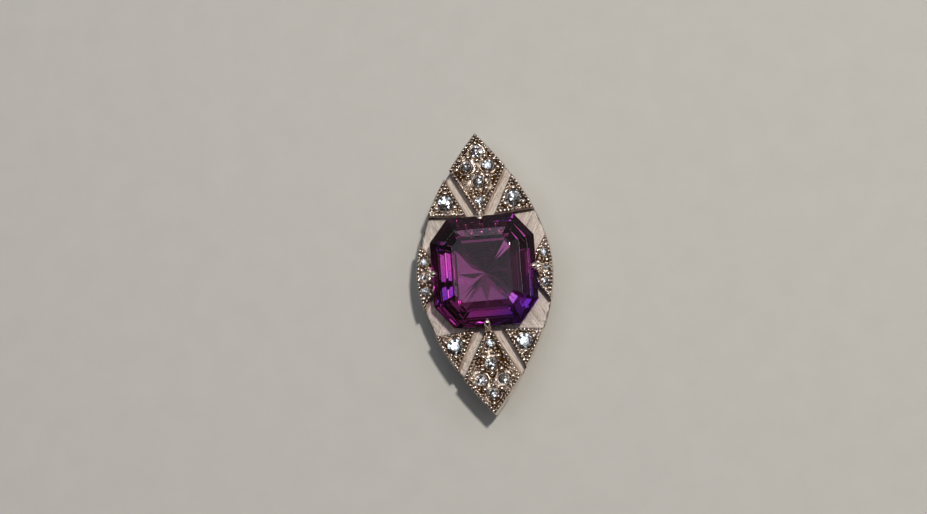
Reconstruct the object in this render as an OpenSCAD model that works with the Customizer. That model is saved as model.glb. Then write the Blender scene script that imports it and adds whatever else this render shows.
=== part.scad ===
// Navette brooch: a step-cut amethyst in four claws over a pierced plate, eight raised
// bead-set diamond panels round it, and a hinged pin with a turning safety catch behind.
// Millimetres. +Y runs to the upper tip and +Z out of the front. z = 0 is the surface
// that the brooch lies on, and x = y = 0 is its middle.

/* [Outline] */
// Length from tip to tip
brooch_l = 30; // [29.5:0.5:32]
// Width across the middle
brooch_w = 14.4; // [14.3:0.1:15.2]
// Fullness of the sides: 1 is a rhombus, 2 a parabola
side_power = 1.83; // [1.8:0.01:1.9]

/* [Plate and panels] */
// Height of the plate's back above the table
plate_back = 2.55; // [2.55:0.05:2.8]
// Thickness of the plate
plate_t = 1.0; // [0.8:0.1:1.0]
// Height of the raised panels above the plate
panel_t = 1.2; // [1.1:0.05:1.25]
// Width of the border left standing round each panel
border_w = 0.27; // [0.2:0.01:0.3]
// Depth of the floor cut inside the border
floor_cut = 0.3; // [0.25:0.05:0.35]
// Depth of the frame behind the plate
frame_h = 0.7; // [0.4:0.1:0.8]
// Width of the frame's wall
frame_w = 0.8; // [0.6:0.1:0.9]

/* [Amethyst] */
// Length of the stone along the brooch
amethyst_l = 11.7; // [11.5:0.1:11.7]
// Width of the stone
amethyst_w = 11.0; // [10.8:0.1:11]
// Height of the girdle above the table
girdle_z = 5.35; // [5.3:0.05:5.45]

/* [Pin and catch] */
// Height of the pin's centre line above the table
pin_z = 1.2; // [1.2:0.05:1.25]
// Radius of the pin
pin_r = 0.4; // [0.35:0.01:0.4]
// Place of the hinge along the brooch
hinge_y = 9.2; // [9:0.1:9.4]
// Angle of the pin, 0 when closed
pin_swing = 0; // [0:5:90]
// Angle of the safety catch, 0 when open
catch_turn = 0; // [0:10:180]

/* [Hidden] */
$fn = 64;

half_l = brooch_l / 2;
half_w = brooch_w / 2;
plate_top = plate_back + plate_t;
panel_top = plate_top + panel_t;
floor_z = panel_top - floor_cut;
gap = 0.01;
through = 1;

// Corners of the panels, on the right and upper side.
kite_end_y = 6.45;
kite_end_x = 0.45;
kite_shoulder_y = 11.15;
triangle_inner = [1.53, 6.1];
triangle_y = [6.4, 10.28];
side_inner = [5.15, 1.2];
side_y = 3.5;

// Small stones: [x, y, radius], set from their girdles.
kite_gems = [[0, 12.95, 0.76], [-1.15, 11.38, 0.72], [1.15, 11.38, 0.72], [0, 9.75, 0.74], [0, 7.6, 0.46]];
triangle_gems = [[3.65, 7.65, 0.84]];
side_gems = [[6.54, 0, 0.36], [6.35, 1.55, 0.46], [6.35, -1.55, 0.46]];
gem_lift = 0.06;
gem_girdle_t = 0.04;
gem_crown = 0.3;
gem_table = 0.56;
gem_depth = 0.86;
light_hole = 0.7;
seat_depth = 0.3;

// Beads raised from the floor: [x, y, radius].
kite_beads = concat(
    [[0, 13.86, 0.2], [0, 11.99, 0.24], [0, 10.76, 0.26], [0, 6.98, 0.18]],
    both([0.9, 12.4, 0.25]),
    both([1.84, 12.04, 0.22]),
    both([2.18, 11.14, 0.22]),
    both([1.02, 10.3, 0.27]),
    both([0.8, 8.94, 0.25]),
    both([0.5, 8.12, 0.17])
);
triangle_beads = [[3.67, 8.73, 0.27], [4.62, 7.17, 0.27], [2.69, 7.14, 0.27]];
side_beads = [
    [6.66, 0.74, 0.2], [6.66, -0.74, 0.2], [6.62, 2.32, 0.21],
    [6.62, -2.32, 0.21], [5.86, 0.92, 0.17], [5.86, -0.92, 0.17]
];
bead_sink = 0.06;

// Amethyst: a cut-corner rectangle, and its steps as [inset, height from the girdle].
corner_x = 2.0;
corner_y = 2.45;
girdle_t = 0.2;
table_inset = 2.45;
crown_steps = [[0, 0], [0.75, 0.62], [1.55, 1.12], [table_inset, 1.5]];
pavilion_steps = [[2.6, -2.35], [1.1, -1.25], [0, 0]];
culet_z = 2.2;
culet_share = 0.02;

// Collet under the amethyst.
collet_inset = 0.75;
collet_inner = 1.6;
collet_back = plate_back - 0.2;
collet_gap = 0.02;

// Claws.
claw_r = 0.36;
claw_out = 0.22;
claw_shoulder = [0.42, 5.7];
claw_tip = [0.36, 5.94];
claw_reach = 0.3;

// Hinge.
ear_in = 0.46;
ear_out = 1.1;
ear_r = pin_z;
hinge_base = [2.6, 2.9, 0.5];
rivet_r = 0.35;
rivet_head = [0.48, 0.12];
tongue_r = 0.78;
tongue_w = 0.84;
bore_play = 0.04;

// Pin, as distances from the hinge.
pin_start = 1.6;
pin_thin = 16.2;
pin_tip = 20;
thin_r = 0.23;
point_l = 1.2;
taper_l = 0.4;

// Safety catch.
catch_y = [-9.4, -7.8];
catch_w = 2.4;
catch_r = 1.36;
catch_bore = 0.86;
catch_slot = 1.0;
rotor_r = 0.8;
rotor_bore = 0.4;
rotor_slot = 0.7;
flange_gap = 0.05;
outer_flange = [1.1, 0.5];
inner_flange = [1.0, 0.25];
tab_l = 2.1;
tab_w = 0.7;
tab_knob = 0.42;

// Every small stone in the brooch, panel by panel.
gems = concat(
    kite_gems,
    placed(kite_gems, 1, -1),
    placed(triangle_gems, 1, 1),
    placed(triangle_gems, -1, 1),
    placed(triangle_gems, 1, -1),
    placed(triangle_gems, -1, -1),
    side_gems,
    placed(side_gems, -1, 1)
);

function gem_name(i) = str("diamond_", i < 9 ? "0" : "", i + 1);

function both(p) = [p, [-p[0], p[1], p[2]]];

function placed(list, sx, sy) = [for (g = list) [sx * g[0], sy * g[1], g[2]]];

// Half width of the outline at a height y, for an outline set in by d.
function edge_x(y, d = 0) =
    (half_w - d) * (1 - pow(min(1, abs(y) / tip_y(d)), side_power));

// Height of the tip of the outline set in by d, so that the sides stay parallel.
function tip_y(d) = half_l - d * norm([1, half_l / half_w / side_power]);

function edge_run(y0, y1, n, d = 0) =
    [for (i = [0 : n]) let (y = y0 + (y1 - y0) * i / n) [edge_x(y, d), y]];

function mirrored(points) =
    [for (i = [len(points) - 1 : -1 : 0]) [-points[i][0], points[i][1]]];

function navette(d = 0) =
    let (right = edge_run(-tip_y(d), tip_y(d), 48, d))
    concat(right, mirrored([for (i = [1 : len(right) - 2]) right[i]]));

// A counter-clockwise polygon set in by d, with each side kept parallel to itself.
function inset(p, d) =
    let (n = len(p))
    [
        for (i = [0 : n - 1])
        let (
            before = p[i] - p[(i + n - 1) % n],
            after = p[(i + 1) % n] - p[i],
            u = [-before[1], before[0]] / norm(before),
            v = [-after[1], after[0]] / norm(after)
        )
        p[i] + d * (u + v) / (1 + u * v)
    ];

function kite() =
    let (edge = edge_run(kite_shoulder_y, half_l, 6))
    concat(
        [[-kite_end_x, kite_end_y], [kite_end_x, kite_end_y]],
        edge,
        mirrored([for (i = [0 : len(edge) - 2]) edge[i]])
    );

function triangle() = concat([triangle_inner], edge_run(triangle_y[0], triangle_y[1], 6));

function side() = concat(
    [[side_inner[0], side_inner[1]], [side_inner[0], -side_inner[1]]],
    edge_run(-side_y, side_y, 6)
);

// The amethyst's outline at the girdle.
function octagon() =
    let (
        x = amethyst_w / 2,
        y = amethyst_l / 2,
        cx = x - corner_x,
        cy = y - corner_y
    )
    [[x, -cy], [x, cy], [cx, y], [-cx, y], [-x, cy], [-x, -cy], [-cx, -y], [cx, -y]];

// Corners of a single-cut stone's ring.
function ring(r, n = 8) =
    [for (i = [0 : n - 1]) let (a = 360 * (i + 0.5) / n) [r * cos(a), r * sin(a)]];

function at_z(points, z) = [for (p = points) [p[0], p[1], z]];

// Height of the amethyst's pavilion where it is set in by d, down to the second step.
function pavilion_z(d) = girdle_z - girdle_t / 2 + lookup(-d, [for (s = pavilion_steps) [-s[0], s[1]]]);

// Quads joining ring a to ring b, n points each, seen from outside.
function band(a, b, n) = [
    for (i = [0 : n - 1])
    [b * n + i, b * n + (i + 1) % n, a * n + (i + 1) % n, a * n + i]
];

// A closed stone from a list of rings, lowest first.
module stack(rings) {
    n = len(rings[0]);
    last = len(rings) - 1;
    polyhedron(
        points = [for (r = rings) each r],
        faces = concat(
            [[for (i = [0 : n - 1]) i]],
            [for (k = [0 : last - 1]) each band(k, k + 1, n)],
            [[for (i = [n - 1 : -1 : 0]) last * n + i]]
        )
    );
}

// A closed hoop whose section runs through the rings in turn: up outside, down inside.
module hoop(rings) {
    n = len(rings[0]);
    count = len(rings);
    polyhedron(
        points = [for (r = rings) each r],
        faces = [for (k = [0 : count - 1]) each band(k, (k + 1) % count, n)]
    );
}

module slab(points, z0, z1) {
    translate([0, 0, z0]) linear_extrude(z1 - z0) polygon(points);
}

// A round bar along Y.
module bar_y(r, y0, y1, r_end = -1) {
    translate([0, y0, pin_z])
        rotate([-90, 0, 0])
            cylinder(r1 = r, r2 = r_end < 0 ? r : r_end, h = y1 - y0);
}

// A round bar along X through the hinge.
module bar_x(r, x0, x1) {
    translate([x0, hinge_y, pin_z]) rotate([0, 90, 0]) cylinder(r = r, h = x1 - x0);
}

// What a small stone's setting takes away: light hole, bearing, and the crown above it.
module seat(g) {
    r = g[2];
    z = floor_z + gem_lift;
    crown_z = z + gem_girdle_t + gem_crown * r;
    translate([g[0], g[1], 0]) rotate_extrude() polygon([
        [0, plate_back - through],
        [light_hole * r, plate_back - through],
        [light_hole * r, z - seat_depth * r],
        [r + gap, z],
        [r + gap, z + gem_girdle_t],
        [gem_table * r + gap, crown_z],
        [gem_table * r + gap, panel_top + through],
        [0, panel_top + through]
    ]);
}

module bead(b) {
    translate([b[0], b[1], floor_z - bead_sink + b[2] / 4]) sphere(r = b[2]);
}

// A raised panel with its border, beads and stone settings.
module panel(outline, gem_list, bead_list) {
    difference() {
        union() {
            difference() {
                slab(outline, plate_top, panel_top);
                slab(inset(outline, border_w), floor_z, panel_top + through);
            }
            for (b = bead_list) bead(b);
        }
        for (g = gem_list) seat(g);
    }
}

module kite_panel() {
    color("lightgray") panel(kite(), kite_gems, kite_beads);
}

module triangle_panel() {
    color("lightgray") panel(triangle(), triangle_gems, triangle_beads);
}

module side_panel() {
    color("lightgray") difference() {
        panel(side(), side_gems, side_beads);
        translate([amethyst_w / 2 + claw_out, 0, plate_back])
            cylinder(r = claw_r + gap, h = panel_top);
    }
}

module base_plate() {
    color("gainsboro") difference() {
        slab(navette(), plate_back, plate_top);
        slab(inset(octagon(), collet_inset - gap), plate_back - through, plate_top + through);
        for (g = gems)
            translate([g[0], g[1], plate_back - through])
                cylinder(r = light_hole * g[2], h = plate_t + 2 * through);
        for (side = [0 : 3])
            claw_place(side)
                translate([0, claw_out, plate_back - through])
                    cylinder(r = claw_r + gap, h = plate_t + 2 * through);
    }
}

module back_frame() {
    set_in = 0.35;
    color("silver") difference() {
        slab(navette(set_in), plate_back - frame_h, plate_back);
        slab(navette(set_in + frame_w), plate_back - frame_h - through, plate_back + through);
    }
}

module amethyst() {
    top = girdle_z + girdle_t / 2;
    bottom = girdle_z - girdle_t / 2;
    deep = pavilion_steps[0];
    color("indigo") stack(concat(
        [at_z(inset(octagon(), deep[0]) * culet_share, culet_z)],
        [for (s = pavilion_steps) at_z(inset(octagon(), s[0]), bottom + s[1])],
        [for (s = crown_steps) at_z(inset(octagon(), s[0]), top + s[1])]
    ));
}

module amethyst_collet() {
    bend = pavilion_steps[1][0];
    color("silver") hoop([
        at_z(inset(octagon(), collet_inset), collet_back),
        at_z(inset(octagon(), collet_inset), pavilion_z(collet_inset) - collet_gap),
        at_z(inset(octagon(), bend), pavilion_z(bend) - collet_gap),
        at_z(inset(octagon(), collet_inner), pavilion_z(collet_inner) - collet_gap),
        at_z(inset(octagon(), collet_inner), collet_back)
    ]);
}

// Puts a claw drawn at the stone's edge on +Y on side 0 top, 1 left, 2 bottom or 3 right.
module claw_place(side) {
    reach = side % 2 == 0 ? amethyst_l / 2 : amethyst_w / 2;
    rotate([0, 0, 90 * side]) translate([0, reach, 0]) children();
}

module claw(side) {
    top = girdle_z + girdle_t / 2 + gap;
    bottom = girdle_z - girdle_t / 2 - gap;
    notch = concat(
        [for (s = pavilion_steps) [gap - s[0], bottom + s[1]]],
        [for (s = crown_steps) [gap - s[0], top + s[1]]]
    );
    color("silver") claw_place(side) difference() {
        union() {
            translate([0, claw_out, plate_back]) cylinder(r = claw_r, h = claw_shoulder[1] - plate_back);
            translate([0, claw_out, claw_shoulder[1]]) sphere(r = claw_shoulder[0]);
            translate([0, -claw_reach, claw_tip[1]]) sphere(r = claw_tip[0]);
        }
        translate([-2, 0, 0]) rotate([90, 0, 90]) linear_extrude(4) polygon(notch);
    }
}

module diamond(g) {
    r = g[2];
    z = floor_z + gem_lift;
    color("white") translate([g[0], g[1], 0]) stack([
        at_z(ring(0.03), z - gem_depth * r),
        at_z(ring(r), z),
        at_z(ring(r), z + gem_girdle_t),
        at_z(ring(gem_table * r), z + gem_girdle_t + gem_crown * r)
    ]);
}

module hinge_bracket() {
    color("silver") difference() {
        union() {
            translate([-hinge_base[0] / 2, hinge_y - hinge_base[1] / 2, plate_back - hinge_base[2]])
                cube(hinge_base);
            for (x = [-ear_out, ear_in]) {
                bar_x(ear_r, x, x + ear_out - ear_in);
                translate([x, hinge_y - 1, pin_z])
                    cube([ear_out - ear_in, 2, plate_back - hinge_base[2] / 2 - pin_z]);
            }
        }
        bar_x(rivet_r + gap / 2, -ear_out - through, ear_out + through);
    }
}

module hinge_rivet() {
    color("silver") {
        bar_x(rivet_r, -ear_out, ear_out);
        bar_x(rivet_head[0], -ear_out - rivet_head[1], -ear_out);
        bar_x(rivet_head[0], ear_out, ear_out + rivet_head[1]);
    }
}

module pin_stem() {
    thin_y = hinge_y - pin_thin;
    tip_end = hinge_y - pin_tip;
    color("lightgray") translate([0, hinge_y, pin_z])
        rotate([pin_swing, 0, 0])
            translate([0, -hinge_y, -pin_z]) difference() {
                union() {
                    bar_x(tongue_r, -tongue_w / 2, tongue_w / 2);
                    bar_y(pin_r, thin_y, hinge_y - pin_start);
                    bar_y(pin_r, hinge_y - pin_start, hinge_y - bore_play - rivet_r, pin_r * 0.9);
                    bar_y(thin_r, thin_y - taper_l, thin_y, pin_r);
                    bar_y(thin_r, tip_end + point_l, thin_y - taper_l);
                    bar_y(0.05, tip_end, tip_end + point_l, thin_r);
                }
                bar_x(rivet_r + bore_play, -tongue_w, tongue_w);
            }
}

module catch_housing() {
    length = catch_y[1] - catch_y[0];
    color("silver") difference() {
        union() {
            intersection() {
                bar_y(catch_r, catch_y[0], catch_y[1]);
                translate([-catch_w / 2, catch_y[0], 0]) cube([catch_w, length, plate_back]);
            }
            translate([-catch_w / 2, catch_y[0], pin_z + 0.8])
                cube([catch_w, length, plate_back - pin_z - 0.8]);
        }
        bar_y(catch_bore, catch_y[0] - through, catch_y[1] + through);
        translate([-catch_slot / 2, catch_y[0] - through, -through])
            cube([catch_slot, length + 2 * through, pin_z + through]);
    }
}

// A slotted sleeve in the housing, with a flange at each end and a thumb tab on the outer one.
module catch_rotor() {
    outer = catch_y[0] - flange_gap;
    inner = catch_y[1] + flange_gap;
    color("silver") translate([0, 0, pin_z])
        rotate([0, catch_turn, 0])
            translate([0, 0, -pin_z]) difference() {
                union() {
                    bar_y(rotor_r, outer - outer_flange[1], inner + inner_flange[1]);
                    bar_y(outer_flange[0], outer - outer_flange[1], outer);
                    bar_y(inner_flange[0], inner, inner + inner_flange[1]);
                    translate([0.6, outer - outer_flange[1], pin_z - tab_w / 2])
                        cube([tab_l - 0.6, outer_flange[1], tab_w]);
                    translate([tab_l, 0, 0]) bar_y(tab_knob, outer - outer_flange[1], outer);
                }
                bar_y(rotor_bore, outer - 2, inner + 2);
                translate([-rotor_slot / 2, outer - 2, -through])
                    cube([rotor_slot, inner - outer + 4, pin_z + through]);
            }
}

base_plate();
back_frame();
kite_panel();  // kite_panel_top
mirror([0, 1, 0]) kite_panel();  // kite_panel_bottom
triangle_panel();  // triangle_panel_top_right
mirror([1, 0, 0]) triangle_panel();  // triangle_panel_top_left
mirror([0, 1, 0]) triangle_panel();  // triangle_panel_bottom_right
mirror([1, 0, 0]) mirror([0, 1, 0]) triangle_panel();  // triangle_panel_bottom_left
side_panel();  // side_panel_right
mirror([1, 0, 0]) side_panel();  // side_panel_left
amethyst();
amethyst_collet();
claw(0);  // claw_top
claw(1);  // claw_left
claw(2);  // claw_bottom
claw(3);  // claw_right
hinge_bracket();
hinge_rivet();
pin_stem();
catch_housing();
catch_rotor();
for (i = [0 : len(gems) - 1])
    diamond(gems[i]);
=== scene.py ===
import math

import bmesh
import bpy
import numpy as np
from mathutils import Matrix, Vector
from mathutils.geometry import delaunay_2d_cdt
from mathutils.kdtree import KDTree


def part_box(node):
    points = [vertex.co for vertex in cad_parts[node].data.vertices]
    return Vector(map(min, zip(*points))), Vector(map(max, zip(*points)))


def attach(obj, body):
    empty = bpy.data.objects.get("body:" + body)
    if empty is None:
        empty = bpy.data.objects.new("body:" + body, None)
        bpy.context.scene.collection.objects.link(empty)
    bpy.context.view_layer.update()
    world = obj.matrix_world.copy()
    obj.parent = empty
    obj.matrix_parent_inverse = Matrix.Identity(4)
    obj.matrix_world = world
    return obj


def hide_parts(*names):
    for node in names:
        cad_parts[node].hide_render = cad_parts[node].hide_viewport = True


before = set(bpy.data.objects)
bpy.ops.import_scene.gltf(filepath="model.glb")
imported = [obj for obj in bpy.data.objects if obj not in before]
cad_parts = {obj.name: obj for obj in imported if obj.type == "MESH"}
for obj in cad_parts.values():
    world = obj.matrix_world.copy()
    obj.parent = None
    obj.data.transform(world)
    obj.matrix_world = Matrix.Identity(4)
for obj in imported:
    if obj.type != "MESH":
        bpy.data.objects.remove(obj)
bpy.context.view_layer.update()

MM = 0.001


def mm_box(node):
    low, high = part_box(node)
    return np.array(low) / MM, np.array(high) / MM


# ---------------------------------------------------------------- sizes from the frame
PLATE_LOW, PLATE_HIGH = mm_box("base_plate")
HALF_W, HALF_L = PLATE_HIGH[0], PLATE_HIGH[1]
PLATE_BACK, PLATE_TOP = PLATE_LOW[2], PLATE_HIGH[2]
PANEL_TOP = mm_box("kite_panel_top")[1][2]
FRAME_BACK = mm_box("back_frame")[0][2]
STONE_LOW, STONE_HIGH = mm_box("amethyst")
COLLET_BACK = mm_box("amethyst_collet")[0][2]

# The outline: half width = HALF_W * (1 - (|y| / HALF_L) ** SIDE_POWER), in NAVETTE_STEPS steps of y.
SIDE_POWER = 1.83
NAVETTE_STEPS = 96

# Corners of the panels, on the right and upper side, and the steps of y along their outer edges.
KITE_END = (0.45, 6.45)
KITE_SHOULDER = (3.02, 11.15)
TRIANGLE_INNER = (1.53, 6.1)
TRIANGLE_Y = (6.4, 10.28)
SIDE_INNER = (5.15, 1.2)
SIDE_Y = 3.5
TIP_STEPS, SIDE_STEPS = 16, 24

# Raised beads between the small stones: x, y, radius.
KITE_BEADS = [
    (0, 13.86, 0.2), (0, 11.99, 0.24), (0, 10.76, 0.26), (0, 6.98, 0.18),
    (0.9, 12.4, 0.25), (1.84, 12.04, 0.22), (2.18, 11.14, 0.22),
    (1.02, 10.3, 0.27), (0.8, 8.94, 0.25), (0.5, 8.12, 0.17),
]
TRIANGLE_BEADS = [(3.67, 8.73, 0.27), (4.62, 7.17, 0.27), (2.69, 7.14, 0.27)]
SIDE_BEADS = [(6.66, 0.74, 0.2), (6.62, 2.32, 0.21), (5.86, 0.92, 0.17)]
BEAD_LIFT = 0.05
BEAD_SWELL = 1.18
BEAD_VARIES = (0.94, 1.06)
BEAD_WANDER = 0.012

# Small grains that fill a panel's floor: random tries, radii, and how near they come to beads and stones.
GRAIN_TRIES = 1500
GRAIN_R = (0.10, 0.145)
GRAIN_GAP = 0.98
STONE_ROOM = 1.2

# Relief of a panel, from its floor or its edge. The floor's waves are in radians a millimetre of x and y.
FLOOR_Z = PANEL_TOP - 0.3
BORDER_W = 0.3
BORDER_DROP = 0.13
WALL_SLOPE = 0.12
FILLET = 0.06
WAVE_H = 0.015
WAVES = ((9.1, 4.3), (-3.7, 8.3))

# Milled edge of a panel: a row of small beads.
MILL_R = 0.16
MILL_PITCH = 0.4
MILL_INSET = 0.165
MILL_WANDER = 0.008

# Seat of a small stone. The radii are shares of the stone's, and the prongs' heights are shares of RIDGE_H.
SEAT_R, SEAT_LIP, SEAT_SLOPE = 1.06, 0.03, 0.8
RIDGE_R, RIDGE_HALF_W, RIDGE_H = 1.12, 0.08, 0.08
PRONGS, PRONG_MIDDLE, PRONG_RISE = 4, 0.62, 0.38
PANEL_HOLE, PLATE_HOLE = 0.66, 0.7

# Rings of mesh points on the relief: radius as a share of the feature's, and number of points.
MILL_RINGS = ((1.0, 9), (0.72, 7), (0.36, 5))
BEAD_RINGS = ((1.02, 18), (0.97, 18), (0.8, 14), (0.55, 10), (0.28, 6))
SMALL_BEAD_RINGS = ((1.0, 11), (0.75, 9), (0.4, 6))
SMALL_BEAD_R = 0.16
SEAT_RINGS = tuple((share, 32) for share in (0.84, 1.04, 1.07, 1.12, 1.17, 1.2))

# Small stones, with CUT_SIDES facets above and below. Sizes are shares of the radius, and a tilt is its mean
# and spread in radians.
CUT_SIDES = 8
CUT_TABLE, CUT_GIRDLE = 0.56, 0.05
CROWN_SLOPE, PAVILION_SLOPE = math.radians(34), math.radians(41)
GIRDLE_HEIGHT = 0.86
TILT_X, TILT_Y = (0, 0.06), (0.06, 0.07)

# Centre stone: octagon corner cuts, and steps as inset and height from the girdle.
CORNER_X, CORNER_Y = 2.0, 2.45
CROWN_H = 1.5
GIRDLE_T = 0.2
CROWN_STEPS = [(0, 0), (0.75, 0.62), (1.55, 1.12), (2.45, CROWN_H)]
PAVILION_STEPS = [(0, 0), (1.1, -1.25), (2.6, -2.35)]
GIRDLE_TOP = STONE_HIGH[2] - CROWN_H
GIRDLE_BACK = GIRDLE_TOP - GIRDLE_T
# The last ring above the culet: its size and its height over the culet, as shares of the lowest step's.
CULET_RING, CULET_RISE = 0.45, 0.40
FACET_EDGE, FACET_ANGLE = 0.018, math.radians(4)

# Frame behind the plate: inset and width of its wall, and the round on its edges. Grime runs from 0 to 1.
FRAME_IN, FRAME_WALL, FRAME_ROUND, FRAME_BEND = 0.35, 0.8, 0.1, 0.03
FRAME_GRIME = 0.25

# Collet: insets of its wall, bend and opening, its gap to the stone, the groove round its wall, and the
# chamfer behind its opening.
COLLET_IN, COLLET_BEND, COLLET_OPEN = 0.75, 1.1, 1.6
COLLET_GAP = 0.02
GROOVE_Z, GROOVE_HALF, GROOVE_DEEP = PLATE_TOP + 0.3, 0.08, 0.05
COLLET_CHAMFER = 0.08
COLLET_GRIME = 0.35

# Claws: a post beside each of the centre stone's sides, and the rods melted to it. A rod is its two ends and
# their radii. At an end, x runs along the stone's side, y outwards from it, and z up from the origin.
CLAW_R = 0.36
CLAW_OUT = 0.22
CLAW_PLAY = 0.01
POST_FOOT, POST_HEAD = PLATE_BACK + 0.3, GIRDLE_BACK + 0.1
POST = ((0, CLAW_OUT, POST_FOOT), (0, CLAW_OUT, POST_HEAD), 0.34, 0.30)
CLAW_TOP = [
    ((0, 0.25, 5.55), (0, 0.20, 5.66), 0.36, 0.34),
    ((0.02, -0.30, 5.92), (0.02, -0.38, 5.97), 0.33, 0.32),
]
CLAW_BOTTOM = [
    ((-0.34, 0.42, 4.7), (-0.05, -0.05, 5.6), 0.17, 0.2),
    ((0.34, 0.42, 4.7), (0.05, -0.05, 5.6), 0.17, 0.2),
    ((0, -0.18, 5.82), (0, -0.30, 5.9), 0.36, 0.36),
]
CLAW_SIDE = [
    ((0, -0.2, 5.88), (0, -0.28, 5.92), 0.36, 0.34),
    ((0.42, 0.22, 5.2), (0.40, 0.16, 5.5), 0.24, 0.26),
    ((-0.40, 0.26, 5.2), (-0.38, 0.2, 5.46), 0.24, 0.25),
    ((0, 0.42, 5.2), (0, 0.40, 5.36), 0.25, 0.25),
]
# In the order of quarter turns from the upper side.
CLAW_RODS = {"top": CLAW_TOP, "left": CLAW_SIDE, "bottom": CLAW_BOTTOM, "right": CLAW_SIDE}
CLAW_VOXEL = 0.035
CUTTER_GROWTH = 0.015


# ---------------------------------------------------------------- plane geometry
def edge_x(y):
    return HALF_W * (1 - min(1, abs(y) / HALF_L) ** SIDE_POWER)


def edge_run(y0, y1, count):
    ys = np.linspace(y0, y1, count + 1)
    return [(edge_x(y), y) for y in ys]


def mirrored(points):
    return [(-x, y) for x, y in reversed(points)]


def navette():
    right = edge_run(-HALF_L, HALF_L, NAVETTE_STEPS)
    return np.array(right + mirrored(right[1:-1]))


def smooth_navette(d):
    """The outline set in by d, as the CAD part sets it in, so that its tips stay sharp."""
    tip = HALF_L - d * math.hypot(1, HALF_L / HALF_W / SIDE_POWER)
    ys = np.linspace(-tip, tip, NAVETTE_STEPS + 1)
    right = [((HALF_W - d) * (1 - (abs(y) / tip) ** SIDE_POWER), y) for y in ys]
    return np.array(right + mirrored(right[1:-1]))


def kite():
    edge = edge_run(KITE_SHOULDER[1], HALF_L, TIP_STEPS)
    ends = [(-KITE_END[0], KITE_END[1]), KITE_END]
    return np.array(ends + edge + mirrored(edge[:-1]))


def triangle():
    return np.array([TRIANGLE_INNER] + edge_run(*TRIANGLE_Y, TIP_STEPS))


def side():
    """The side panel. A claw's post stands in it."""
    corners = [SIDE_INNER, (SIDE_INNER[0], -SIDE_INNER[1])]
    return np.array(corners + edge_run(-SIDE_Y, SIDE_Y, SIDE_STEPS))


def octagon():
    x, y = STONE_HIGH[0], STONE_HIGH[1]
    cx, cy = x - CORNER_X, y - CORNER_Y
    return np.array([(x, -cy), (x, cy), (cx, y), (-cx, y), (-x, cy), (-x, -cy), (-cx, -y), (cx, -y)])


def turned(points, sx, sy):
    """Points mirrored by signs, kept counter-clockwise."""
    out = np.asarray(points, float) * (sx, sy)
    return out[::-1] if sx * sy < 0 else out


def inset(polygon, distance):
    """A counter-clockwise polygon set in by distance, each side kept parallel to itself."""
    before = polygon - np.roll(polygon, 1, 0)
    after = np.roll(polygon, -1, 0) - polygon
    u = np.stack([-before[:, 1], before[:, 0]], 1)
    v = np.stack([-after[:, 1], after[:, 0]], 1)
    u /= np.linalg.norm(u, axis=1, keepdims=True)
    v /= np.linalg.norm(v, axis=1, keepdims=True)
    return polygon + distance * (u + v) / (1 + (u * v).sum(1, keepdims=True))


def circle(centre, radius, count, turn=0.0):
    angles = np.arange(count) * 2 * math.pi / count + turn
    return np.array(centre)[:2] + radius * np.stack([np.cos(angles), np.sin(angles)], 1)


def halfway(points):
    """The middle of each side of a closed polygon."""
    return [(a + b) / 2 for a, b in zip(points, np.roll(points, -1, 0))]


def resample(polygon, spacing):
    """The closed polygon's own corners, with points between them at most about spacing apart."""
    out = []
    for a, b in zip(polygon, np.roll(polygon, -1, 0)):
        count = max(1, round(float(np.linalg.norm(b - a)) / spacing))
        out += [a + (b - a) * k / count for k in range(count)]
    return np.array(out)


def spaced(polygon, pitch):
    """Points round a closed polygon, evenly spaced near pitch, from its first corner."""
    ends = np.roll(polygon, -1, 0)
    lengths = np.linalg.norm(ends - polygon, axis=1)
    count = max(3, round(lengths.sum() / pitch))
    at = np.arange(count) * lengths.sum() / count
    starts = np.concatenate([[0], np.cumsum(lengths)])
    side_of = np.clip(np.searchsorted(starts, at, "right") - 1, 0, len(polygon) - 1)
    share = (at - starts[side_of]) / lengths[side_of]
    return polygon[side_of] + (ends - polygon)[side_of] * share[:, None]


def inside(points, polygon):
    a, b = polygon, np.roll(polygon, -1, 0)
    x, y = points[:, 0:1], points[:, 1:2]
    spans = (a[:, 1] > y) != (b[:, 1] > y)
    tiny, level = 1e-12, b[:, 1] == a[:, 1]
    rise = np.where(level, tiny, b[:, 1] - a[:, 1])
    crossing = x < (b[:, 0] - a[:, 0]) * (y - a[:, 1]) / rise + a[:, 0]
    return (spans & crossing).sum(1) % 2 == 1


def edge_distance(points, polygon):
    """Distance from each point to the polygon's sides, positive inside it."""
    a, b = polygon, np.roll(polygon, -1, 0)
    ab = b - a
    ap = points[:, None, :] - a[None]
    t = np.clip((ap * ab).sum(2) / (ab * ab).sum(1), 0, 1)
    away = np.linalg.norm(ap - t[..., None] * ab, axis=2).min(1)
    return np.where(inside(points, polygon), away, -away)


# ---------------------------------------------------------------- meshes
def linked(name, mesh):
    piece = bpy.data.objects.new(name, mesh)
    bpy.context.scene.collection.objects.link(piece)
    return piece


def new_piece(name, vertices, faces, material, replaced, sharp, depth=None):
    """A mesh piece from millimetre vertices. Its material reads depth, 0 to 1 at each vertex, as tarnish and
    painted shade.
    """
    mesh = bpy.data.meshes.new(name)
    mesh.from_pydata((np.asarray(vertices, float) * MM).tolist(), [], faces)
    mesh.validate()
    work = bmesh.new()
    work.from_mesh(mesh)
    bmesh.ops.recalc_face_normals(work, faces=work.faces)
    work.to_mesh(mesh)
    work.free()
    if depth is not None:
        layer = mesh.attributes.new("depth", "FLOAT", "POINT")
        layer.data.foreach_set("value", np.asarray(depth, np.float32))
    return dress(linked(name, mesh), material, replaced, "brooch", sharp)


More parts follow.
